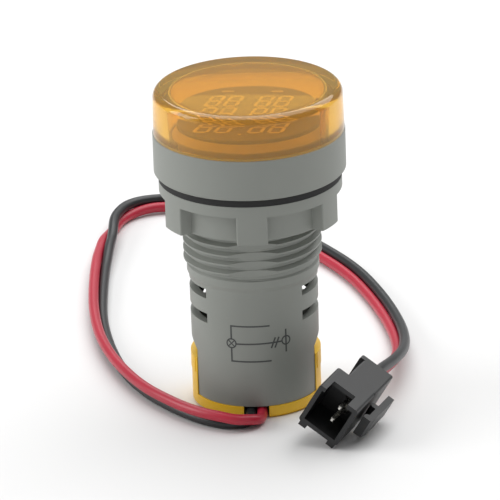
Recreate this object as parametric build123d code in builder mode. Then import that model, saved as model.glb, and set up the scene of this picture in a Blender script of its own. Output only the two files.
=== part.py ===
from build123d import *
import math
import os

os.makedirs("parts", exist_ok=True)

# A round digital power meter for a 22 mm panel hole. It stands on its terminal cover, with its axis on Z and its
# front towards -Y, and a short twin lead runs round it over the surface to a two-way connector.
# All sizes are in millimetres. Heights count from the surface that the meter stands on.

# ---------------------------------------------------------------- driving dimensions
body_r = 10.15             # outside radius of the moulded body and the thread's core
body_foot_r = 10.0         # the same at the bottom, after the mould's draft
body_wall = 1.3            # wall of the barrel
foot_wall = 1.95           # thicker wall round the terminal block
cover_plate = 1.95         # thickness of the terminal cover's plate
bezel_r = 15.1             # outside radius of the bezel
bezel_z = 38.5             # underside of the bezel, which sits on the panel
bezel_h = 6.55             # height of the bezel
bezel_wall = 1.5
bezel_floor = 1.8
lens_rise = 6.95           # how far the lens stands out of the bezel
lens_wall = 2.5
lens_top = 1.5
lens_edge = 1.2            # rounding of the lens's top edge
lens_draft = 0.15
thread_pitch = 1.5
thread_depth = 0.78
thread_turns = 9
thread_foot_z = 23.85      # height of the thread's first crest, at the back
thread_fade = 0.06         # what is left of the thread in the middle of its two flats
gasket_t = 1.16
nut_h = 6.4
nut_rim = 3.41             # from the nut's bore to its rim
nut_collar = 1.8
nut_lugs = 6
nut_lug_w = 4.85
nut_lug_rise = 1.9
slot_h = 1.6               # cooling slots, two on each side
slot_step = 4.15
slot_z = 15.15
slot_half_span = 6.8       # how far a slot reaches forwards and backwards from the side
flat_cut = 0.95            # depth of the two side flats for the cover's arms
flat_top_z = 9.6
arm_top_z = 8.2
grip_h = 2.6               # thicker finger grip at the top of each arm
grip_rise = 0.15
notch_w = 4.0              # notch in the cover where the lead comes out
lead_x = -0.2              # middle of the notch and of the lead
wire_d = 1.7               # one wire of the twin lead, over its insulation
wire_z = 0.95              # height of the two wires as they leave through the notch
display_r = 11.1
display_z = 47.3           # top of the display's face
digit_h = 5.8
digit_w = 2.4
digit_gap = 0.65           # between the two digits of a pair
pair_gap = 2.6             # between the two pairs of digits
line_gap = 0.5             # between the two lines of digits
upper_line_y = 1.8         # middle of the upper line
lower_line_x = -0.5        # the lower line is set a little to the left
segment_w = 0.5
segment_rise = 0.1
display_turn = -6.5        # degrees the display sits turned in its bezel
main_board_t = 1.2
main_board_y = 1.6         # middle plane of the main board
screw_r = 1.5              # M3 terminal screws
screw_pitch = 0.5
screw_head_r = 2.2
screw_head_h = 1.5
screw_len = 5.6
clamp_t = 0.8
clamp_gap = 0.8            # open wire space above a clamp washer
contact_t = 0.8
divider = 2.6              # insulating wall between the two terminals
wire_entry_w = 3.0         # channel that a supply wire comes in by, at the back of each terminal
running = 0.06             # radial clearance of a running fit
seat_gap = 0.05            # air between pieces that touch in use but move apart
loose = 0.15               # clearance of a piece that only has to drop in

# ---------------------------------------------------------------- sizes that follow from them
foot_z = cover_plate + seat_gap
bore_r = body_r - body_wall
foot_bore_r = body_foot_r - foot_wall
crest_r = body_r + thread_depth
bezel_top_z = bezel_z + bezel_h
bezel_bore_r = bezel_r - bezel_wall
bezel_floor_z = bezel_z + bezel_floor
lens_r = bezel_r - 0.1
top_z = bezel_top_z + lens_rise
gasket_top_z = bezel_z - seat_gap
gasket_foot_z = gasket_top_z - gasket_t
nut_top_z = gasket_foot_z - seat_gap
nut_foot_z = nut_top_z - nut_h
nut_bore_r = crest_r + running
nut_r = nut_bore_r + nut_rim
flat_x = body_r - flat_cut
block_r = foot_bore_r - running
block_top_z = foot_z + 9.6
pocket_side = 0.69 * block_r
terminal_x = (divider + pocket_side) / 2
terminal_y = 0.6
clamp_side = pocket_side - 0.6
head_foot_z = foot_z + 0.3
clamp_foot_z = head_foot_z + screw_head_h + seat_gap
contact_z = clamp_foot_z + clamp_t + clamp_gap
board_foot_z = block_top_z + 1.9
board_top_z = bezel_z - 1.0
board_front_y = main_board_y - main_board_t / 2
board_back_y = main_board_y + main_board_t / 2
board_half_w = math.sqrt(bore_r**2 - board_back_y**2) - 1.1


# ---------------------------------------------------------------- housing: bezel, threaded barrel and body in one
with BuildPart() as thread:
    with BuildLine() as crest_line:
        Helix(thread_pitch, thread_pitch * thread_turns, body_r, center=(0, 0, thread_foot_z))
    with BuildSketch(Plane(crest_line.line @ 0, x_dir=(1, 0, 0), z_dir=crest_line.line % 0)):
        with BuildLine():
            Polyline(
                (-0.12, -0.62), (thread_depth, -0.14), (thread_depth, 0.14), (-0.12, 0.62), close=True
            )
        make_face()
    sweep(path=crest_line.line, is_frenet=True)

with BuildPart() as housing:
    with BuildSketch(Plane.XZ):
        with BuildLine():
            Polyline(
                (foot_bore_r, foot_z),
                (body_foot_r, foot_z),
                (body_r, slot_z + 6.2),
                (body_r + 0.3, slot_z + 6.9),
                (body_r + 0.3, thread_foot_z - 0.6),
                (body_r, thread_foot_z - 0.3),
                (body_r, bezel_z),
                (bezel_r - 0.25, bezel_z),
                (bezel_r, bezel_z + 0.25),
                (bezel_r, bezel_top_z - 0.15),
                (bezel_r - 0.15, bezel_top_z),
                (bezel_bore_r, bezel_top_z),
                (bezel_bore_r, bezel_floor_z),
                (bore_r, bezel_floor_z),
                (bore_r, block_top_z + 1.2),
                (foot_bore_r, block_top_z + 0.3),
                close=True,
            )
        make_face()
    revolve(axis=Axis.Z)
    with Locations(Rotation(0, 0, 90)):
        add(thread.part)
    # Flats at the front and the back take the crests off, so the thread fades out towards the mould's seam.
    for turn in (0, 180):
        with BuildSketch(Plane.XY.offset(thread_foot_z - 0.6).rotated((0, 0, turn))):
            with Locations((0, -body_r - thread_fade)):
                Rectangle(2 * crest_r, 2 * thread_depth, align=(Align.CENTER, Align.MAX))
        extrude(amount=bezel_z - thread_foot_z + 0.6, mode=Mode.SUBTRACT)
    # Two flats on the sides take the cover's arms, and run out upwards in a slope.
    for side in (-1, 1):
        with BuildSketch(Plane.XZ.offset(-body_r)):
            with BuildLine():
                Polyline(
                    (side * flat_x, foot_z - 1.0),
                    (side * (body_r + 1.0), foot_z - 1.0),
                    (side * (body_r + 1.0), flat_top_z + 3.0),
                    (side * flat_x, flat_top_z),
                    close=True,
                )
            make_face()
        extrude(amount=2 * body_r, mode=Mode.SUBTRACT)
    # Cooling slots go through both side walls.
    for level in (0, 1):
        for side in (-1, 1):
            with Locations((side * body_r, 0, slot_z + level * slot_step + slot_h / 2)):
                Box(2 * (body_r - slot_half_span) + 3.0, 2 * slot_half_span, slot_h, mode=Mode.SUBTRACT)
housing.part.label = "housing"
export_step(housing.part, "parts/housing.step")

# ---------------------------------------------------------------- lens
rib_angle = 28.0           # the lens's alignment rib, from +X towards -Y
with BuildPart() as lens:
    with BuildSketch(Plane.XZ) as lens_profile:
        with BuildLine():
            Polyline(
                (0, top_z),
                (lens_r - lens_draft, top_z),
                (lens_r, bezel_top_z),
                (bezel_bore_r - loose, bezel_top_z),
                (bezel_bore_r - loose, bezel_floor_z + 1.0),
                (bezel_bore_r - loose - 0.9, bezel_floor_z + 1.0),
                (lens_r - lens_wall, bezel_top_z),
                (lens_r - lens_wall - lens_draft, top_z - lens_top),
                (0, top_z - lens_top),
                close=True,
            )
        make_face()
        fillet(lens_profile.vertices().group_by(Axis.Y)[-1].sort_by(Axis.X)[-1], lens_edge)
        inner_z = top_z - lens_top
        inner_corners = lens_profile.vertices().filter_by_position(Axis.Y, inner_z - 0.01, inner_z + 0.01)
        fillet(inner_corners.sort_by(Axis.X)[-1], 0.6)
    revolve(axis=Axis.Z)
    with BuildSketch(Plane.XY.offset(bezel_top_z).rotated((0, 0, -rib_angle))):
        with Locations((lens_r - lens_wall - 0.1, 0)):
            Rectangle(0.8, 0.9)
    extrude(amount=top_z - lens_top - bezel_top_z)
lens.part.label = "lens"
export_step(lens.part, "parts/lens.step")

# ---------------------------------------------------------------- display: white shell, dark face, digit windows
display_foot_z = bezel_floor_z + 1.3
face_t = 0.6
with BuildPart() as display_module:
    with BuildSketch(Plane.XY.offset(display_foot_z)):
        Circle(display_r)
        Rectangle(2 * display_r - 3.0, 9.0, mode=Mode.SUBTRACT)
    extrude(amount=display_z - face_t - 1.0 - display_foot_z)
    with BuildSketch(Plane.XY.offset(display_z - face_t - 1.0)):
        Circle(display_r)
    extrude(amount=1.0)
    # A sloped skirt round the shell, under the face, closes the gap to the lens.
    skirt_r = lens_r - lens_wall - lens_draft - 3 * loose
    skirt_foot_z = bezel_top_z + 0.3
    with BuildSketch(Plane.XZ):
        with BuildLine():
            Polyline(
                (display_r - 0.5, skirt_foot_z),
                (skirt_r, skirt_foot_z),
                (skirt_r, skirt_foot_z + 0.2),
                (display_r, display_z - face_t - 0.1),
                (display_r - 0.5, display_z - face_t - 0.1),
                close=True,
            )
        make_face()
    revolve(axis=Axis.Z)
display_module.part.label = "display_module"
export_step(display_module.part, "parts/display_module.step")

with BuildPart() as display_face:
    with BuildSketch(Plane.XY.offset(display_z - face_t)):
        Circle(display_r)
    extrude(amount=face_t)
    chamfer(display_face.faces().sort_by(Axis.Z)[-1].edges(), 0.15)
display_face.part.label = "display_face"
export_step(display_face.part, "parts/display_face.step")

face_plane = Plane.XY.offset(display_z).rotated((0, 0, display_turn))
slant = math.tan(math.radians(9))
pair_x = digit_w + digit_gap / 2 + pair_gap / 2
bar = digit_w - segment_w - 0.16
half_bar = digit_h / 2 - segment_w / 2 - 0.16


def bar_points(length):
    """Outline of one bar of a digit, with the usual pointed ends."""
    end, tip = length / 2, segment_w / 2
    return [(-end, 0), (tip - end, tip), (end - tip, tip), (end, 0), (end - tip, -tip), (tip - end, -tip)]


with BuildPart() as digit_segments:
    with BuildSketch(face_plane):
        for line_x, line_y in ((0, upper_line_y), (lower_line_x, upper_line_y - digit_h - line_gap)):
            for pair in (-1, 1):
                for within in (-1, 1):
                    digit_x = line_x + pair * pair_x + within * (digit_w + digit_gap) / 2
                    for row in (-1, 0, 1):
                        rise = row * (digit_h - segment_w) / 2
                        with Locations((digit_x + rise * slant, line_y + rise)):
                            Polygon(*bar_points(bar))
                    for row, side in ((-1, -1), (-1, 1), (1, -1), (1, 1)):
                        rise = row * (digit_h - segment_w) / 4
                        bar_x = digit_x + side * (digit_w - segment_w) / 2
                        with Locations((bar_x + rise * slant, line_y + rise)):
                            Polygon(*bar_points(half_bar), rotation=90 - math.degrees(math.atan(slant)))
    extrude(amount=segment_rise)
digit_segments.part.label = "digit_segments"
export_step(digit_segments.part, "parts/digit_segments.step")

with BuildPart() as unit_windows:
    unit_y = upper_line_y + digit_h / 2 + 2.6
    dot_y = upper_line_y - 3 * digit_h / 2 - line_gap - 0.6
    with BuildSketch(face_plane):
        for side in (-1, 1):
            with Locations((side * pair_x, unit_y)):
                SlotOverall(2.0, 0.7)
        with Locations((lower_line_x, dot_y)):
            Circle(0.3)
    extrude(amount=segment_rise)
unit_windows.part.label = "unit_windows"
export_step(unit_windows.part, "parts/unit_windows.step")

with BuildPart() as display_board:
    with BuildSketch(Plane.XY.offset(bezel_floor_z + 0.1)):
        Circle(display_r - 0.2)
    extrude(amount=1.2)
display_board.part.label = "display_board"
export_step(display_board.part, "parts/display_board.step")

with BuildPart() as header_pins:
    with BuildSketch(Plane.XY.offset(board_top_z - 3.0)):
        with Locations((0, board_front_y - 0.3)):
            with GridLocations(2.0, 1.0, 5, 1):
                Rectangle(0.5, 0.5)
    extrude(amount=bezel_floor_z + 0.1 - board_top_z + 3.0)
header_pins.part.label = "header_pins"
export_step(header_pins.part, "parts/header_pins.step")

# ---------------------------------------------------------------- gasket and panel nut
with BuildPart() as gasket:
    with BuildSketch(Plane.XY.offset(gasket_foot_z)):
        Circle(nut_r)
        Circle(crest_r + 2 * running, mode=Mode.SUBTRACT)
    extrude(amount=gasket_t)
gasket.part.label = "gasket"
export_step(gasket.part, "parts/gasket.step")

with BuildPart() as mounting_nut:
    with BuildSketch(Plane.XY.offset(nut_foot_z)) as nut_outline:
        Circle(nut_r - nut_lug_rise)
        with PolarLocations(0, nut_lugs, start_angle=90):
            Rectangle(nut_r + 1.0, nut_lug_w, align=(Align.MIN, Align.CENTER))
        Circle(nut_r, mode=Mode.INTERSECT)
    extrude(amount=nut_h - nut_collar)
    lug_edges = mounting_nut.edges().filter_by(Axis.Z).filter_by(
        lambda edge: math.hypot(edge.center().X, edge.center().Y) > nut_r - 0.1
    )
    fillet(lug_edges, 0.25)
    fillet(mounting_nut.faces().sort_by(Axis.Z)[0].edges(), 0.2)
    with BuildSketch(Plane.XY.offset(nut_top_z - nut_collar)):
        Circle(nut_r)
    extrude(amount=nut_collar)
    with BuildSketch(Plane.XY.offset(nut_foot_z)):
        Circle(nut_bore_r)
    extrude(amount=nut_h, mode=Mode.SUBTRACT)
mounting_nut.part.label = "mounting_nut"
export_step(mounting_nut.part, "parts/mounting_nut.step")

# ---------------------------------------------------------------- terminal cover: plate with two arms
with BuildPart() as terminal_cover:
    with BuildSketch():
        Circle(body_r + 0.05)
    extrude(amount=cover_plate)
    chamfer(terminal_cover.faces().sort_by(Axis.Z)[0].edges(), 0.4)
    for side in (-1, 1):
        with BuildSketch(Plane.XY.offset(cover_plate)):
            Circle(body_r + 0.05)
            with Locations((side * (flat_x + seat_gap + 2.0), 0)):
                Rectangle(4.0, 8.0, mode=Mode.INTERSECT)
        extrude(amount=arm_top_z - cover_plate)
        with BuildSketch(Plane.XY.offset(arm_top_z - grip_h)):
            Circle(body_r + grip_rise)
            with Locations((side * (flat_x + seat_gap + 2.0), 0)):
                Rectangle(4.0, 7.0, mode=Mode.INTERSECT)
        extrude(amount=grip_h)
    with BuildSketch():
        with Locations((lead_x, -body_r)):
            Rectangle(notch_w, 2 * (body_r - 4.6))
        with Locations((-terminal_x, terminal_y), (terminal_x, terminal_y)):
            Circle(screw_head_r + 0.1)
        with Locations((-terminal_x, body_r), (terminal_x, body_r)):
            Rectangle(wire_entry_w + 0.2, 2 * 4.6)
    extrude(amount=cover_plate, mode=Mode.SUBTRACT)
terminal_cover.part.label = "terminal_cover"
export_step(terminal_cover.part, "parts/terminal_cover.step")

# ---------------------------------------------------------------- terminal block, contacts, clamps and screws
channel_back_y = -4.9      # the lead's channel at the front of the block ends here
leg_w = 1.6
leg_t = 0.6
with BuildPart() as terminal_block:
    with BuildSketch(Plane.XY.offset(foot_z + 0.1)):
        Circle(block_r)
        with Locations((lead_x, channel_back_y)):
            Rectangle(notch_w, 2 * block_r, align=(Align.CENTER, Align.MAX), mode=Mode.SUBTRACT)
    extrude(amount=block_top_z - foot_z - 0.1)
    for side in (-1, 1):
        with BuildSketch(Plane.XY.offset(foot_z + 0.1)):
            with Locations((side * terminal_x, terminal_y)):
                Rectangle(pocket_side, pocket_side)
        extrude(amount=contact_z + contact_t + seat_gap - foot_z - 0.1, mode=Mode.SUBTRACT)
        with BuildSketch(Plane.XY.offset(foot_z + 0.1)):
            with Locations((side * terminal_x, terminal_y)):
                Rectangle(wire_entry_w, block_r, align=(Align.CENTER, Align.MIN))
        extrude(amount=contact_z - foot_z - 0.1, mode=Mode.SUBTRACT)
        with BuildSketch(Plane.XY.offset(contact_z)):
            with Locations((side * terminal_x, terminal_y)):
                Circle(screw_r + 0.5)
        extrude(amount=screw_len - clamp_gap - contact_t + 1.2, mode=Mode.SUBTRACT)
        with BuildSketch(Plane.XY.offset(contact_z)):
            with Locations((side * terminal_x, board_back_y + leg_t / 2)):
                Rectangle(leg_w + 0.3, leg_t + 0.3)
        extrude(amount=block_top_z - contact_z, mode=Mode.SUBTRACT)
terminal_block.part.label = "terminal_block"
export_step(terminal_block.part, "parts/terminal_block.step")

for number, side in ((1, -1), (2, 1)):
    with BuildPart() as contact:
        with BuildSketch(Plane.XY.offset(contact_z)):
            with Locations((side * terminal_x, terminal_y)):
                Rectangle(clamp_side, clamp_side)
                Circle(screw_r + running, mode=Mode.SUBTRACT)
        extrude(amount=contact_t)
        with BuildSketch(Plane.XY.offset(contact_z)):
            with Locations((side * terminal_x, board_back_y + leg_t / 2)):
                Rectangle(leg_w, leg_t)
        extrude(amount=board_foot_z + 2.4 - contact_z)
    contact.part.label = f"terminal_contact_{number}"
    export_step(contact.part, f"parts/terminal_contact_{number}.step")

    with BuildPart() as clamp:
        with BuildSketch(Plane.XY.offset(clamp_foot_z)):
            with Locations((side * terminal_x, terminal_y)):
                Rectangle(clamp_side, clamp_side)
                Circle(screw_r + running, mode=Mode.SUBTRACT)
        extrude(amount=clamp_t)
    clamp.part.label = f"clamp_washer_{number}"
    export_step(clamp.part, f"parts/clamp_washer_{number}.step")

    with BuildPart() as screw:
        with BuildSketch(Plane.XY.offset(head_foot_z)):
            with Locations((side * terminal_x, terminal_y)):
                Circle(screw_head_r)
        extrude(amount=screw_head_h)
        fillet(screw.faces().sort_by(Axis.Z)[0].edges(), 0.3)
        with BuildSketch(Plane.XY.offset(head_foot_z)):
            with Locations((side * terminal_x, terminal_y)):
                Rectangle(3.2, 0.7)
                Rectangle(0.7, 3.2)
        extrude(amount=0.8, mode=Mode.SUBTRACT)
        with BuildSketch(Plane.XY.offset(head_foot_z + screw_head_h)):
            with Locations((side * terminal_x, terminal_y)):
                Circle(screw_r)
        extrude(amount=screw_len)
        chamfer(screw.faces().sort_by(Axis.Z)[-1].edges(), 0.3)
    screw.part.label = f"terminal_screw_{number}"
    export_step(screw.part, f"parts/terminal_screw_{number}.step")

# ---------------------------------------------------------------- main board and what it carries
with BuildPart() as main_board:
    with BuildSketch(Plane.XZ.offset(-board_back_y)):
        with Locations((0, (board_foot_z + board_top_z) / 2)):
            Rectangle(2 * board_half_w, board_top_z - board_foot_z)
    extrude(amount=main_board_t)
main_board.part.label = "main_board"
export_step(main_board.part, "parts/main_board.step")

film_w, film_h, film_d = 9.0, 9.5, 4.4
with BuildPart() as film_capacitor:
    with Locations((-1.2, board_front_y - film_d / 2, board_top_z - 4.0 - film_h / 2)):
        Box(film_w, film_d, film_h)
    fillet(film_capacitor.edges(), 0.3)
film_capacitor.part.label = "film_capacitor"
export_step(film_capacitor.part, "parts/film_capacitor.step")

can_r, can_h = 2.5, 8.0
with BuildPart() as smoothing_capacitor:
    with BuildSketch(Plane.XY.offset(board_foot_z + 0.6)):
        with Locations((4.2, board_front_y - can_r)):
            Circle(can_r)
    extrude(amount=can_h)
    fillet(smoothing_capacitor.edges().filter_by(GeomType.CIRCLE), 0.3)
smoothing_capacitor.part.label = "smoothing_capacitor"
export_step(smoothing_capacitor.part, "parts/smoothing_capacitor.step")

resistor_r, resistor_l = 1.15, 6.0
with BuildPart() as dropper_resistors:
    for height in (board_top_z - 5.0, board_top_z - 8.4):
        with BuildSketch(Plane.YZ.offset(-resistor_l / 2)):
            with Locations((board_back_y + resistor_r, height)):
                Circle(resistor_r)
        extrude(amount=resistor_l)
dropper_resistors.part.label = "dropper_resistors"
export_step(dropper_resistors.part, "parts/dropper_resistors.step")

with BuildPart() as bridge_rectifier:
    with Locations((2.8, board_back_y + 1.1, board_top_z - 13.4)):
        Box(4.6, 2.2, 4.6)
    chamfer(bridge_rectifier.faces().sort_by(Axis.Y)[-1].edges(), 0.25)
bridge_rectifier.part.label = "bridge_rectifier"
export_step(bridge_rectifier.part, "parts/bridge_rectifier.step")

with BuildPart() as meter_chip:
    with Locations((-2.8, board_back_y + 0.75, board_top_z - 13.4)):
        Box(4.0, 1.5, 5.2)
    chamfer(meter_chip.faces().sort_by(Axis.Y)[-1].edges(), 0.2)
meter_chip.part.label = "meter_chip"
export_step(meter_chip.part, "parts/meter_chip.step")

# ---------------------------------------------------------------- lead inside the housing, up to the board
lead_turn_y = -6.7
lead_start_y = -(body_r + 0.25)
with BuildPart() as inner_leads:
    for side in (-1, 1):
        x = lead_x + side * wire_d / 2 * 1.02
        lead_top_z = board_foot_z + 3.6
        with BuildLine() as lead_path:
            FilletPolyline(
                (x, lead_start_y, wire_z),
                (x, lead_turn_y, wire_z),
                (x, lead_turn_y, lead_top_z),
                (x, board_front_y, lead_top_z),
                radius=1.6,
            )
        with BuildSketch(Plane(lead_path.line @ 0, z_dir=lead_path.line % 0)):
            Circle(wire_d / 2)
        sweep(path=lead_path.line)
inner_leads.part.label = "inner_leads"
export_step(inner_leads.part, "parts/inner_leads.step")

# ---------------------------------------------------------------- connector on the lead's end
# Its own plane has X across the mouth, Y up and Z out of the mouth. It lies rolled over onto a bottom corner.
heading = 23.0             # degrees its mouth turns from -Y towards -X
roll = 31.8                # degrees its right side drops
mouth_w, mouth_h, hood_l = 7.3, 7.4, 7.5
mouth_wall = 0.75
rear_x0, rear_x1 = -1.6, 3.65
rear_foot = -3.0
plug_len = 15.1
rear_plate_t = 1.1
foot_rib_w, foot_rib_h = 1.3, 0.9
pin_x, pin_pitch, pin_side = 0.7, 2.5, 0.64
crimp_r = 0.85
lever_gap, lever_t, lever_half_w = 1.25, 1.1, 1.75
knuckle_r = 0.6            # rounded foot that the lever turns on
latch_gap = 0.12           # between that foot and the housing's side
lever_front, lever_pivot, lever_rear = -3.2, -7.8, -12.8
across = Vector(math.cos(math.radians(heading)), -math.sin(math.radians(heading)), 0)
out = Vector(-math.sin(math.radians(heading)), -math.cos(math.radians(heading)), 0)
right = across * math.cos(math.radians(roll)) - Vector(0, 0, 1) * math.sin(math.radians(roll))
mouth_x, mouth_y = 10.85, -23.3
mouth_z = (
    (mouth_w / 2 - 0.35) * math.sin(math.radians(roll))
    + (mouth_h / 2 + foot_rib_h) * math.cos(math.radians(roll))
    + 0.05
)
mouth = Plane((mouth_x, mouth_y, mouth_z), x_dir=right, z_dir=out)
rear_w = rear_x1 - rear_x0
rear_h = mouth_h / 2 - rear_foot

with BuildPart() as connector_housing:
    with BuildSketch(mouth):
        RectangleRounded(mouth_w, mouth_h, 0.5)
    extrude(amount=-hood_l)
    with BuildSketch(mouth.offset(-hood_l)):
        with Locations((rear_x0 + rear_w / 2, rear_foot + rear_h / 2)):
            RectangleRounded(rear_w, rear_h, 0.35)
    extrude(amount=-(plug_len - hood_l))
    with BuildSketch(mouth.offset(-(plug_len - rear_plate_t))):
        with Locations((rear_x0 - 0.7 + (rear_w + 0.7) / 2, rear_foot + rear_h / 2)):
            RectangleRounded(rear_w + 0.7, rear_h, 0.35)
    extrude(amount=-rear_plate_t)
    with BuildSketch(mouth.offset(-0.3)):
        for side in (-1, 1):
            rib_x = side * (mouth_w / 2 - 0.35 - foot_rib_w / 2)
            with Locations((rib_x, -mouth_h / 2 - foot_rib_h / 2 + 0.2)):
                Rectangle(foot_rib_w, foot_rib_h + 0.4)
    extrude(amount=-(hood_l - 0.6))
    with BuildSketch(mouth):
        Rectangle(mouth_w - 2 * mouth_wall, mouth_h - 2 * mouth_wall)
    extrude(amount=-(hood_l - 0.9), mode=Mode.SUBTRACT)
    with BuildSketch(mouth):
        with Locations((-0.4, mouth_h / 2)):
            Rectangle(4.1, 2 * mouth_wall + 0.4)
    extrude(amount=-3.3, mode=Mode.SUBTRACT)
    with BuildSketch(mouth.offset(-(hood_l - 0.9))):
        for side in (-1, 1):
            with Locations((pin_x, side * pin_pitch / 2)):
                Circle(crimp_r + 0.1)
    extrude(amount=-(plug_len - hood_l + 0.9), mode=Mode.SUBTRACT)
connector_housing.part.label = "connector_housing"
export_step(connector_housing.part, "parts/connector_housing.step")

for number, side in ((1, 1), (2, -1)):
    with BuildPart() as pin:
        with BuildSketch(mouth.offset(-1.6)):
            with Locations((pin_x, side * pin_pitch / 2)):
                Rectangle(pin_side, pin_side)
        extrude(amount=-(hood_l - 1.6))
        chamfer(pin.faces().sort_by(Axis(mouth.origin, out))[-1].edges(), 0.15)
        with BuildSketch(mouth.offset(-hood_l)):
            with Locations((pin_x, side * pin_pitch / 2)):
                Circle(crimp_r)
        extrude(amount=-(plug_len - 2.0 - hood_l))
    pin.part.label = f"connector_pin_{number}"
    export_step(pin.part, f"parts/connector_pin_{number}.step")

with BuildPart() as connector_leads:
    with BuildSketch(mouth.offset(-(plug_len - 2.0))):
        for side in (-1, 1):
            with Locations((pin_x, side * pin_pitch / 2)):
                Circle(wire_d / 2)
    extrude(amount=-2.0)
connector_leads.part.label = "connector_leads"
export_step(connector_leads.part, "parts/connector_leads.step")

lever_plane = Plane(mouth.origin, x_dir=out, z_dir=mouth.y_dir)
lever_side = mouth_w / 2 + lever_gap
knuckle_y = mouth_w / 2 + latch_gap + knuckle_r
with BuildPart() as connector_latch:
    with BuildSketch(lever_plane.offset(-lever_half_w)):
        # In this plane X runs out of the mouth and Y away from the side of the housing that carries the lever.
        with BuildLine():
            Polyline(
                (lever_front, lever_side + lever_t - 0.3),
                (lever_front, lever_side - 0.6),
                (lever_front - 1.0, lever_side - 0.6),
                (lever_front - 1.5, lever_side),
                (lever_pivot + knuckle_r, lever_side),
                (lever_pivot + knuckle_r, knuckle_y),
                (lever_pivot - knuckle_r, knuckle_y),
                (lever_pivot - knuckle_r, lever_side),
                (lever_rear, lever_side),
                (lever_rear, lever_side + lever_t),
                (lever_front - 1.5, lever_side + lever_t),
                close=True,
            )
        make_face()
        with Locations((lever_pivot, knuckle_y)):
            Circle(knuckle_r)
    extrude(amount=2 * lever_half_w)
connector_latch.part.label = "connector_latch"
export_step(connector_latch.part, "parts/connector_latch.step")

# ---------------------------------------------------------------- the free lead, laid on the surface
cord_r = 1.2
rear_centre = mouth.from_local_coords(Vector(pin_x, 0, -plug_len))
behind_rear = mouth.from_local_coords(Vector(pin_x, 0, -plug_len - 4.2))
cord_route = [
    (lead_x, lead_start_y, 1.25),
    (lead_x, -12.5, 1.25),
    (-1.7, -14.3, 1.3),
    (-4.7, -14.6, 1.5),
    (-9.2, -12.0, 1.7),
    (-13.3, -7.4, 1.75),
    (-18.0, -0.4, 1.75),
    (-21.9, 9.4, 1.75),
    (-24.4, 20.3, 1.75),
    (-25.6, 31.6, 1.75),
    (-25.7, 43.0, 1.75),
    (-25.3, 56.0, 1.75),
    (-24.1, 68.5, 1.75),
    (-21.8, 79.2, 1.75),
    (-15.0, 83.2, 1.75),
    (-5.5, 79.2, 1.75),
    (4.0, 69.6, 1.75),
    (11.3, 58.0, 1.75),
    (16.5, 48.2, 1.75),
    (19.9, 37.5, 1.75),
    (22.2, 27.0, 1.8),
    (23.4, 17.0, 2.2),
    (23.2, 8.2, 3.1),
    (21.4, 0.6, 4.3),
    tuple(behind_rear),
    tuple(rear_centre),
]
corner_radii = []
for before, corner, after in zip(cord_route, cord_route[1:], cord_route[2:]):
    arriving = Vector(*corner) - Vector(*before)
    leaving = Vector(*after) - Vector(*corner)
    half_turn = math.radians(arriving.get_angle(leaving)) / 2
    corner_radii.append(0.45 * min(arriving.length, leaving.length) / math.tan(half_turn))
with BuildPart() as cord:
    with BuildLine() as cord_path:
        FilletPolyline(*cord_route, radius=corner_radii)
    with BuildSketch(Plane(cord_path.line @ 0, z_dir=cord_path.line % 0)):
        Circle(cord_r)
    sweep(path=cord_path.line)
cord.part.label = "cord"
export_step(cord.part, "parts/cord.step")
cord_length = cord_path.wire().length
print("cord length", round(cord_length, 1), "volume", round(cord.part.volume, 1))
print("section x length", round(math.pi * cord_r**2 * cord_length, 1))
print("cord radii", [round(radius, 1) for radius in corner_radii])
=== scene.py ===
"""A round digital power meter for a 22 mm panel hole, standing on its terminal cover with its twin lead laid
round it to a two-way connector. Lengths are in metres, in the frame's own axes."""

import math

import bmesh
import bpy
from mathutils import Matrix, Vector


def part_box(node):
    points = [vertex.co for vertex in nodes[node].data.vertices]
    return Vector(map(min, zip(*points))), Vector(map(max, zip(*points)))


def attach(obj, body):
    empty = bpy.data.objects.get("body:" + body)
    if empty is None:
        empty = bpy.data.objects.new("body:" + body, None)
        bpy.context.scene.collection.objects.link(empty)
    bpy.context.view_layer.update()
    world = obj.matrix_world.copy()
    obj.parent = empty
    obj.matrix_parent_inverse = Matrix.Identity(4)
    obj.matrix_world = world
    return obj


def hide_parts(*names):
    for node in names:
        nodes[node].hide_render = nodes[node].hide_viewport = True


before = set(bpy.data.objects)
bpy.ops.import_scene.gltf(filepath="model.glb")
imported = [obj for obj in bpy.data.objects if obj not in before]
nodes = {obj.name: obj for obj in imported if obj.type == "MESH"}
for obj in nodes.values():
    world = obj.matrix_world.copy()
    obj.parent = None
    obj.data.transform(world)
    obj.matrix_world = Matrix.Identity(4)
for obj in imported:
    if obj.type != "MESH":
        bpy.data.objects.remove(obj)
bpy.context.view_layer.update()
mm = 0.001

# ---------------------------------------------------------------- camera
# A long lens at a metre, a little above the meter and rolled by two degrees.
camera_tilt = math.radians(21.353)
camera_roll = math.radians(-1.881)
camera_data = bpy.data.cameras.new("camera")
camera_data.lens = 457.3
camera_data.sensor_width = 36.0
camera_data.clip_start = 0.05
camera = bpy.data.objects.new("camera", camera_data)
bpy.context.scene.collection.objects.link(camera)
camera.matrix_world = (
    Matrix.Translation(Vector((-0.42, -931.35, 388.69)) * mm)
    @ Matrix.Rotation(math.pi / 2 - camera_tilt, 4, "X")
    @ Matrix.Rotation(camera_roll, 4, "Z")
)
bpy.context.scene.camera = camera

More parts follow.
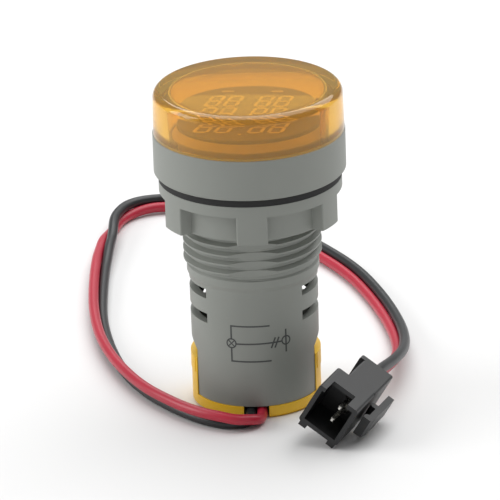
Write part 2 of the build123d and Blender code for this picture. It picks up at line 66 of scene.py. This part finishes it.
# ---------------------------------------------------------------- twin lead
# Two stranded wires in soft PVC, one red and one black, joined side by side. The lead leaves the notch in the
# terminal cover flat, turns onto its edge, runs round the meter on the table and twists over once on its way.
wire_d = 1.7 * mm
lead_route = [
    (-0.2, -10.4, 0.95),
    (-0.2, -12.5, 1.0),
    (-1.7, -14.3, 1.35),
    (-4.7, -14.6, 1.6),
    (-9.2, -12.0, 1.65),
    (-13.3, -7.4, 1.65),
    (-18.0, -0.4, 1.6),
    (-21.9, 9.4, 1.55),
    (-24.4, 20.3, 1.55),
    (-25.6, 31.6, 1.55),
    (-25.7, 43.0, 1.6),
    (-25.3, 56.0, 1.7),
    (-24.1, 68.5, 1.75),
    (-21.8, 79.2, 1.75),
    (-15.0, 83.2, 1.6),
    (-5.5, 79.2, 1.4),
    (4.0, 69.6, 1.35),
    (11.3, 58.0, 1.35),
    (16.5, 48.2, 1.35),
    (19.9, 37.5, 1.35),
    (22.2, 27.0, 1.5),
    (23.4, 17.0, 2.0),
    (23.2, 8.2, 3.0),
    (21.4, 0.6, 4.3),
    (18.939, -5.767, 5.33),
    (17.298, -9.633, 5.33),
]
# How the pair lies: at each distance along the lead, the angle that the red wire stands at round the black one,
# counted from the right-hand side of the way it runs, upwards.
lead_twist = [(0, 180), (1.5, 178), (5, 140), (9, 118), (30, 120), (55, 140), (80, 160), (92, 200), (103, 275),
              (114, 325), (130, 340), (180, 332), (212, 310), (224, 302)]
lead_spread = [(0, 0.85), (214, 0.85), (223, 1.25)]


def read_line(name, route):
    """Points along the smooth line that has the route as its control points."""
    curve = bpy.data.curves.new(name, "CURVE")
    curve.dimensions = "3D"
    curve.resolution_u = 14
    spline = curve.splines.new("NURBS")
    spline.points.add(len(route) - 1)
    for point, place in zip(spline.points, route):
        point.co = (*(Vector(place) * mm), 1.0)
    spline.order_u = 3
    spline.use_endpoint_u = True
    holder = bpy.data.objects.new(name, curve)
    line = bpy.data.meshes.new_from_object(holder)
    points = [vertex.co.copy() for vertex in line.vertices]
    bpy.data.objects.remove(holder)
    bpy.data.meshes.remove(line)
    return points


def between(table, place):
    """The table's value at a place, eased from each entry to the next."""
    if place <= table[0][0]:
        return table[0][1]
    for (start, low), (end, high) in zip(table, table[1:]):
        if place <= end:
            share = (place - start) / (end - start)
            return low + (high - low) * share * share * (3 - 2 * share)
    return table[-1][1]


def linear(hex_code):
    """Linear colour of an sRGB hex value."""
    parts = [int(hex_code[place:place + 2], 16) / 255 for place in (0, 2, 4)]
    return tuple(v / 12.92 if v <= 0.04045 else ((v + 0.055) / 1.055) ** 2.4 for v in parts) + (1.0,)


def add_node(tree, kind, inputs=None, **settings):
    """A new shader node with its settings. An input that is another node's output is linked to it."""
    made = tree.nodes.new(kind)
    for name, value in settings.items():
        setattr(made, name, value)
    for name, value in (inputs or {}).items():
        if isinstance(value, bpy.types.NodeSocket):
            tree.links.new(value, made.inputs[name])
        else:
            made.inputs[name].default_value = value
    return made


def new_tree(name):
    """A new material's empty node tree, with the material itself."""
    material = bpy.data.materials.new(name)
    material.use_nodes = True
    material.node_tree.nodes.clear()
    return material, material.node_tree


def moulded(name, colour, darker, grain, roughness, bump=0.2, **shader):
    """A moulded plastic: a faint drift of colour, and a fine grain that breaks up its highlights."""
    material, tree = new_tree(name)
    place = add_node(tree, "ShaderNodeTexCoord").outputs["Object"]
    drift = add_node(tree, "ShaderNodeTexNoise", {"Vector": place, "Scale": 1 / (9 * mm), "Detail": 3.0})
    mix = add_node(
        tree, "ShaderNodeMix", {"Factor": drift.outputs["Fac"], 6: linear(colour), 7: linear(darker)},
        data_type="RGBA",
    )
    texture = add_node(tree, "ShaderNodeTexNoise", {"Vector": place, "Scale": 1 / grain, "Detail": 2.0})
    relief = add_node(
        tree, "ShaderNodeBump", {"Height": texture.outputs["Fac"], "Strength": bump, "Distance": grain / 6}
    )
    gloss = add_node(
        tree, "ShaderNodeMapRange",
        {"Value": texture.outputs["Fac"], "To Min": roughness - 0.05, "To Max": roughness + 0.05},
    )
    plastic = add_node(
        tree, "ShaderNodeBsdfPrincipled",
        {"Base Color": mix.outputs[2], "Roughness": gloss.outputs[0], "Normal": relief.outputs[0], **shader},
    )
    add_node(tree, "ShaderNodeOutputMaterial", {"Surface": plastic.outputs[0]})
    return material


# Plasticised PVC: smooth from the extruder, a soft sheen, and slightly uneven in its colour.
red_pvc = moulded("red_pvc", "B8203A", "A8182F", 0.25 * mm, 0.36, 0.1, IOR=1.53)
black_pvc = moulded("black_pvc", "1B1E20", "141618", 0.25 * mm, 0.36, 0.1, IOR=1.53)


def twin_mesh(name, line, twist, spread):
    """Two round wires side by side along a line, red first."""
    mesh = bpy.data.meshes.new(name)
    build = bmesh.new()
    ring = 20
    travelled = 0.0
    last = {0: None, 1: None}
    for step, point in enumerate(line):
        ahead = line[min(step + 1, len(line) - 1)] - line[max(step - 1, 0)]
        ahead.normalize()
        side = ahead.cross(Vector((0, 0, 1))).normalized()
        upward = side.cross(ahead)
        if step:
            travelled += (point - line[step - 1]).length / mm
        turn = math.radians(between(twist, travelled))
        apart = between(spread, travelled) * mm
        for wire in (0, 1):
            sign = 1 - 2 * wire
            centre = point + sign * apart * (math.cos(turn) * side + math.sin(turn) * upward)
            verts = []
            for corner in range(ring):
                around = 2 * math.pi * corner / ring
                offset = math.cos(around) * side + math.sin(around) * upward
                verts.append(build.verts.new(centre + wire_d / 2 * offset))
            if last[wire]:
                for corner in range(ring):
                    following = (corner + 1) % ring
                    face = build.faces.new(
                        (last[wire][corner], last[wire][following], verts[following], verts[corner])
                    )
                    face.material_index = wire
                    face.smooth = True
            if step in (0, len(line) - 1):
                build.faces.new(verts).material_index = wire
            last[wire] = verts
    bmesh.ops.recalc_face_normals(build, faces=build.faces)
    build.to_mesh(mesh)
    build.free()
    return mesh


lead_line = read_line("twin_lead_line", lead_route)
lead_length = sum((b - a).length for a, b in zip(lead_line, lead_line[1:]))
twin_lead = bpy.data.objects.new("twin_lead", twin_mesh("twin_lead", lead_line, lead_twist, lead_spread))
bpy.context.scene.collection.objects.link(twin_lead)
twin_lead.data.materials.append(red_pvc)
twin_lead.data.materials.append(black_pvc)
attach(twin_lead, "meter_body")
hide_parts("cord")

# ---------------------------------------------------------------- the lead's wires inside, and in the connector
# The same two wires, seen in the cover's notch and at the back of the connector.


def two_wires(name, across, middle):
    """PVC that is red on one side of a plane and black on the other, for a pair of wires in one piece."""
    material, tree = new_tree(name)
    place = add_node(tree, "ShaderNodeTexCoord").outputs["Object"]
    along = add_node(tree, "ShaderNodeVectorMath", {0: place, 1: across}, operation="DOT_PRODUCT")
    red = add_node(tree, "ShaderNodeMath", {0: along.outputs["Value"], 1: middle}, operation="GREATER_THAN")
    mix = add_node(
        tree, "ShaderNodeMix", {"Factor": red.outputs[0], 6: linear("1F2225"), 7: linear("AE1C34")}, data_type="RGBA"
    )
    texture = add_node(tree, "ShaderNodeTexNoise", {"Vector": place, "Scale": 1 / (0.25 * mm)})
    relief = add_node(
        tree, "ShaderNodeBump", {"Height": texture.outputs["Fac"], "Strength": 0.1, "Distance": 0.04 * mm}
    )
    plastic = add_node(
        tree, "ShaderNodeBsdfPrincipled",
        {"Base Color": mix.outputs[2], "Roughness": 0.36, "Normal": relief.outputs[0], "IOR": 1.53},
    )
    add_node(tree, "ShaderNodeOutputMaterial", {"Surface": plastic.outputs[0]})
    return material


def finish_node(name, material):
    """Gives a node of the frame its material."""
    node = nodes[name]
    node.data.materials.clear()
    node.data.materials.append(material)


low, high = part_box("inner_leads")
finish_node("inner_leads", two_wires("inner_wire_pvc", (1.0, 0.0, 0.0), (low.x + high.x) / 2))
# The plug lies tilted on the table, and its two wires sit one above the other along its own upward direction.
connector_up = Vector((0.485065, -0.205898, 0.849893))
low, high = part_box("connector_leads")
pair_middle = connector_up.dot((low + high) / 2)
finish_node("connector_leads", two_wires("plug_wire_pvc", tuple(-connector_up), -pair_middle))

# ---------------------------------------------------------------- connector
# Glass-filled nylon, moulded black: a hood round two square tinned pins, with a latch lever on one side.
black_nylon = moulded("black_nylon", "121314", "0D0E0F", 0.12 * mm, 0.42, 0.35, IOR=1.53)
finish_node("connector_housing", black_nylon)
finish_node("connector_latch", black_nylon)


def plated(name, colour, grain, roughness):
    """A plated metal part, with fine streaks left by its making."""
    material, tree = new_tree(name)
    place = add_node(tree, "ShaderNodeTexCoord").outputs["Object"]
    streaks = add_node(tree, "ShaderNodeTexNoise", {"Vector": place, "Scale": 1 / grain, "Detail": 4.0})
    gloss = add_node(
        tree, "ShaderNodeMapRange",
        {"Value": streaks.outputs["Fac"], "To Min": roughness - 0.08, "To Max": roughness + 0.1},
    )
    relief = add_node(
        tree, "ShaderNodeBump", {"Height": streaks.outputs["Fac"], "Strength": 0.15, "Distance": grain / 5}
    )
    metal = add_node(
        tree, "ShaderNodeBsdfPrincipled",
        {"Base Color": linear(colour), "Metallic": 1.0, "Roughness": gloss.outputs[0], "Normal": relief.outputs[0]},
    )
    add_node(tree, "ShaderNodeOutputMaterial", {"Surface": metal.outputs[0]})
    return material


tinned_brass = plated("tinned_brass", "D8D6CF", 0.15 * mm, 0.25)
for name in ("connector_pin_1", "connector_pin_2", "header_pins"):
    finish_node(name, tinned_brass)

# ---------------------------------------------------------------- housing and panel nut
# One grey ABS moulding from the bezel to the terminals, with a fine spark texture from its mould.
grey_abs = moulded("grey_abs", "8E918B", "868983", 0.14 * mm, 0.48, 0.3, IOR=1.54)
finish_node("housing", grey_abs)
finish_node("mounting_nut", grey_abs)

# ---------------------------------------------------------------- printed diagram
# A plain wiring diagram pad-printed on the front of the body in dark grey ink: a loop, a lamp and a ring. Each
# stroke is a thin film of ink, laid out flat and then wrapped round the body, which widens a little upwards.


def deselect():
    """Leaves edit mode and lets go of every object."""
    if bpy.context.mode != "OBJECT":
        bpy.ops.object.mode_set(mode="OBJECT")
    bpy.ops.object.select_all(action="DESELECT")


def stroke(start, end, width=0.26):
    """A straight stroke of ink between two places, each the distance round the body and the height."""
    run = Vector((end[0] - start[0], 0, end[1] - start[1]))
    middle = Vector((start[0] + end[0], 0, start[1] + end[1])) / 2
    bpy.ops.mesh.primitive_plane_add(size=1.0, rotation=(math.pi / 2, 0, 0))
    bpy.ops.object.transform_apply(rotation=True)
    bpy.ops.object.mode_set(mode="EDIT")
    bpy.ops.mesh.subdivide(number_cuts=9)
    bpy.ops.object.mode_set(mode="OBJECT")
    bar = bpy.context.active_object
    bar.scale = ((run.length + width) * mm, 1.0, width * mm)
    bar.rotation_euler = (0, -math.atan2(run.z, run.x), 0)
    bar.location = middle * mm
    bpy.ops.object.transform_apply()
    return bar


def ink_ring(place, radius, width=0.22):
    """A ring of ink round a place."""
    bpy.ops.mesh.primitive_circle_add(
        vertices=48, radius=(radius + width / 2) * mm, fill_type="NGON", rotation=(math.pi / 2, 0, 0),
        location=(place[0] * mm, 0, place[1] * mm),
    )
    bpy.ops.object.transform_apply()
    bpy.ops.object.mode_set(mode="EDIT")
    bpy.ops.mesh.inset(thickness=width * mm)
    bpy.ops.mesh.delete(type="FACE")
    bpy.ops.object.mode_set(mode="OBJECT")
    return bpy.context.active_object


lamp_place, lamp_r = (-3.9, 12.65), 0.75
ring_place, ring_r = (4.95, 12.75), 0.7
lamp_reach = lamp_r * math.sqrt(0.5)
deselect()
ink = [
    ink_ring(lamp_place, lamp_r),
    ink_ring(ring_place, ring_r),
    stroke((-3.9, 15.6), (2.15, 15.6)),
    stroke((-3.9, 9.65), (2.3, 9.65)),
    stroke((-3.9, 9.65), (-3.9, lamp_place[1] - lamp_r)),
    stroke((-3.9, lamp_place[1] + lamp_r), (-3.9, 15.6)),
    stroke((lamp_place[0] + lamp_r, 12.6), (ring_place[0] - ring_r, 12.7)),
    stroke((ring_place[0], 10.9), (ring_place[0], 14.5)),
    stroke((2.5, 11.9), (3.1, 13.4)),
    stroke((3.1, 11.9), (3.7, 13.4)),
]
for lean in (-1, 1):
    ink.append(
        stroke(
            (lamp_place[0] - lamp_reach, lamp_place[1] - lean * lamp_reach),
            (lamp_place[0] + lamp_reach, lamp_place[1] + lean * lamp_reach),
            0.18,
        )
    )
deselect()
for bar in ink:
    bar.select_set(True)
bpy.context.view_layer.objects.active = ink[0]
bpy.ops.object.join()
diagram = bpy.context.active_object
bpy.ops.object.transform_apply(location=True, rotation=True, scale=True)
body_foot_r, body_foot_z, body_taper = 10.0 * mm, 2.0 * mm, 0.15 / 19.35
for vertex in diagram.data.vertices:
    radius = body_foot_r + (vertex.co.z - body_foot_z) * body_taper + 0.004 * mm
    around = vertex.co.x / radius
    vertex.co = (radius * math.sin(around), -radius * math.cos(around), vertex.co.z)
film = diagram.modifiers.new("film", "SOLIDIFY")
film.thickness = 0.016 * mm
film.offset = 1.0
bpy.ops.object.modifier_apply(modifier="film")
diagram.name = "printed_diagram"
diagram.data.name = "printed_diagram"
diagram.data.materials.clear()
diagram.data.materials.append(moulded("pad_printing_ink", "3B3D3D", "4C4E4D", 0.2 * mm, 0.5, 0.2, IOR=1.5))
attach(diagram, "meter_body")

# ---------------------------------------------------------------- gasket
# A black nitrile rubber ring, cut from sheet.
nitrile = moulded("nitrile_rubber", "161616", "101010", 0.2 * mm, 0.7, 0.4, IOR=1.52)
finish_node("gasket", nitrile)

# ---------------------------------------------------------------- terminal cover
# Yellow polypropylene with thin arms, shaded here as an opaque plastic.
yellow_pp = moulded("yellow_polypropylene", "F6C62C", "EDBA22", 0.3 * mm, 0.4, 0.15, IOR=1.49)
finish_node("terminal_cover", yellow_pp)

# ---------------------------------------------------------------- display
# A white shell that holds the lamps, a dark face over it, and milky windows for the bars of four digits.
finish_node("display_module", moulded("white_abs", "E6E2D6", "DDD8CA", 0.2 * mm, 0.5, 0.2, IOR=1.54))
finish_node("display_face", moulded("display_film", "77706A", "6E6761", 0.1 * mm, 0.45, 0.15, IOR=1.5))
milky_acrylic = moulded("milky_acrylic", "F3EFDF", "EAE5D2", 0.2 * mm, 0.35, 0.1, IOR=1.49)
finish_node("digit_segments", milky_acrylic)
finish_node("unit_windows", milky_acrylic)

# ---------------------------------------------------------------- lens
# Clear amber polycarbonate, moulded as a cap with a rounded rim. Most of its colour is a tint and a little haze,
# with some dye in its walls. Its IOR is below polycarbonate's 1.58, to keep white reflections off its top.


def pick(kind, test):
    """In edit mode, selects only the faces or edges whose middle passes the test."""
    bpy.ops.mesh.select_mode(type="VERT")
    bpy.ops.mesh.select_all(action="DESELECT")
    bpy.ops.mesh.select_mode(type=kind)
    build = bmesh.from_edit_mesh(bpy.context.edit_object.data)
    for item in build.faces if kind == "FACE" else build.edges:
        middle = sum((vertex.co for vertex in item.verts), Vector()) / len(item.verts)
        if test(middle, item):
            item.select_set(True)
    build.select_flush_mode()
    bmesh.update_edit_mesh(bpy.context.edit_object.data)


def finish_piece(name, material, body, slot, *replaced):
    """Leaves edit mode, puts the piece's place into its mesh, and gives it its material and body."""
    piece = bpy.context.active_object
    if bpy.context.mode != "OBJECT":
        bpy.ops.object.mode_set(mode="OBJECT")
    bpy.ops.object.transform_apply(location=True, rotation=True, scale=True)
    piece.name = name
    piece.data.name = name
    piece.data.materials.clear()
    piece.data.materials.append(material)
    bpy.ops.object.shade_smooth_by_angle(angle=math.radians(32))
    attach(piece, body)
    if replaced:
        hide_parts(*replaced)
    return piece


lens_low, lens_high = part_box("lens")
lens_r = lens_high.x
lens_top = 1.5 * mm
lens_wall = 2.5 * mm
rim_round = 1.2 * mm
inner_round = 0.6 * mm
skirt_r = lens_r - 1.55 * mm
skirt_wall = 0.9 * mm
outer_draft, inner_draft = 0.99, 0.989
bezel_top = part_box("housing")[1].z

amber_polycarbonate, tree = new_tree("amber_polycarbonate")
surface = add_node(
    tree, "ShaderNodeBsdfPrincipled",
    {"Base Color": linear("FFCE58"), "Roughness": 0.03, "IOR": 1.5, "Transmission Weight": 0.82},
)
dye = add_node(tree, "ShaderNodeVolumeAbsorption", {"Color": (0.998, 0.85, 0.3, 1), "Density": 70.0})
add_node(tree, "ShaderNodeOutputMaterial", {"Surface": surface.outputs[0], "Volume": dye.outputs[0]})

deselect()
bpy.ops.mesh.primitive_cylinder_add(
    vertices=256, radius=lens_r, depth=lens_high.z - bezel_top, location=(0, 0, (lens_high.z + bezel_top) / 2)
)
bpy.ops.object.transform_apply(location=True)
bpy.ops.object.mode_set(mode="EDIT")
pick("FACE", lambda middle, face: middle.z > lens_high.z - 0.1 * mm)
bpy.ops.transform.resize(value=(outer_draft, outer_draft, 1), center_override=(0, 0, lens_high.z))
pick("FACE", lambda middle, face: middle.z < bezel_top + 0.1 * mm)
bpy.ops.mesh.inset(thickness=lens_r - skirt_r)
bpy.ops.mesh.extrude_region_move(TRANSFORM_OT_translate={"value": (0, 0, lens_low.z - bezel_top)})
bpy.ops.mesh.inset(thickness=skirt_wall)
bpy.ops.mesh.extrude_region_move(TRANSFORM_OT_translate={"value": (0, 0, bezel_top - lens_low.z)})
widen = (lens_r - lens_wall) / (skirt_r - skirt_wall)
bpy.ops.transform.resize(value=(widen, widen, 1), center_override=(0, 0, bezel_top))
bpy.ops.mesh.extrude_region_move(
    TRANSFORM_OT_translate={"value": (0, 0, lens_high.z - lens_top - bezel_top)}
)
bpy.ops.transform.resize(value=(inner_draft, inner_draft, 1), center_override=(0, 0, lens_high.z - lens_top))


def round_edge(height, radius, segments):
    """Rounds the ring of edges at a height."""
    pick("EDGE", lambda middle, edge: all(abs(v.co.z - height) < 0.01 * mm for v in edge.verts))
    bpy.ops.mesh.bevel(offset=radius, segments=segments, affect="EDGES", profile=0.5)


round_edge(lens_high.z, rim_round, 10)
round_edge(lens_high.z - lens_top, inner_round, 4)

lens = finish_piece("lens_cap", amber_polycarbonate, "meter_body", "amber_lens", "lens")

# The alignment rib stands on the wall inside, from the bezel to the top.
rib_angle = math.radians(-28)
rib_w, rib_out = 0.9 * mm, 0.5 * mm
rib_foot, rib_top = bezel_top + 0.05 * mm, lens_high.z - lens_top - 0.03 * mm
deselect()
bpy.ops.mesh.primitive_cube_add(size=1.0)
rib = bpy.context.active_object
rib.scale = (rib_out, rib_w, rib_top - rib_foot)
rib.rotation_euler = (0, 0, rib_angle)
rib_r = lens_r - lens_wall - rib_out / 2 - 0.2 * mm
rib.location = (rib_r * math.cos(rib_angle), rib_r * math.sin(rib_angle), (rib_foot + rib_top) / 2)
bpy.ops.object.transform_apply(location=True, rotation=True, scale=True)
bpy.ops.object.mode_set(mode="EDIT")
bpy.ops.mesh.select_all(action="SELECT")
bpy.ops.mesh.bevel(offset=0.12 * mm, segments=3, affect="EDGES")
rib = finish_piece("lens_rib", amber_polycarbonate, "meter_body", "amber_lens")

# ---------------------------------------------------------------- terminals and circuit
# Everything behind the moulding: a black terminal block with brass contacts and zinc-plated screws, and the
# circuit boards with their parts.
finish_node("terminal_block", moulded("black_phenolic", "1E1D1C", "171615", 0.2 * mm, 0.5, 0.2, IOR=1.6))
brass = plated("rolled_brass", "C9A65A", 0.2 * mm, 0.28)
zinc_plate = plated("zinc_plate", "C9CCD0", 0.2 * mm, 0.3)
for name in ("terminal_contact_1", "terminal_contact_2"):
    finish_node(name, brass)
for name in ("clamp_washer_1", "clamp_washer_2", "terminal_screw_1", "terminal_screw_2"):
    finish_node(name, zinc_plate)
solder_mask = moulded("green_solder_mask", "1D5B33", "174B2A", 0.8 * mm, 0.35, 0.1, IOR=1.5)
finish_node("main_board", solder_mask)
finish_node("display_board", solder_mask)
finish_node("film_capacitor", moulded("capacitor_epoxy", "B4912B", "A68423", 0.3 * mm, 0.35, 0.15, IOR=1.5))
finish_node("smoothing_capacitor", moulded("shrink_sleeve", "1C2438", "161D2E", 0.5 * mm, 0.3, 0.1, IOR=1.5))
finish_node("dropper_resistors", moulded("resistor_lacquer", "7FA3B5", "7396A8", 0.3 * mm, 0.4, 0.2, IOR=1.5))
chip_epoxy = moulded("chip_epoxy", "1C1C1D", "151516", 0.15 * mm, 0.55, 0.3, IOR=1.5)
finish_node("bridge_rectifier", chip_epoxy)
finish_node("meter_chip", chip_epoxy)

# ---------------------------------------------------------------- table, backdrop and light
# A pale table top under a wide soft light above and behind, with a smaller one on the left and a dim room
# round them, so that the front stays darker than the sides.
deselect()
bpy.ops.mesh.primitive_plane_add(size=6.0)
table = bpy.context.active_object
table.name = "table_top"
material, tree = new_tree("white_table")
surface = add_node(
    tree, "ShaderNodeBsdfPrincipled", {"Base Color": linear("E4E4E4"), "Roughness": 0.6, "IOR": 1.45}
)
add_node(tree, "ShaderNodeOutputMaterial", {"Surface": surface.outputs[0]})
table.data.materials.append(material)


def soft_light(name, place, aim, size, power):
    """A square soft light at a place, turned towards a point."""
    data = bpy.data.lights.new(name, "AREA")
    data.shape = "SQUARE"
    data.size = size
    data.energy = power
    light = bpy.data.objects.new(name, data)
    light.location = place
    light.rotation_euler = (Vector(aim) - Vector(place)).to_track_quat("-Z", "Y").to_euler()
    bpy.context.scene.collection.objects.link(light)


soft_light("top_light", (0.2, 0.45, 1.0), (0, 0, 0), 1.5, 17.0)
soft_light("left_light", (-1.2, 0.0, 0.6), (0, 0, 0.03), 0.8, 8.0)
world = bpy.data.worlds.new("studio")
bpy.context.scene.world = world
world.use_nodes = True
world.node_tree.nodes["Background"].inputs["Color"].default_value = (1, 1, 1, 1)
world.node_tree.nodes["Background"].inputs["Strength"].default_value = 0.4
bpy.context.scene.view_settings.view_transform = "Standard"

print("lead length", round(lead_length * 1000, 1))
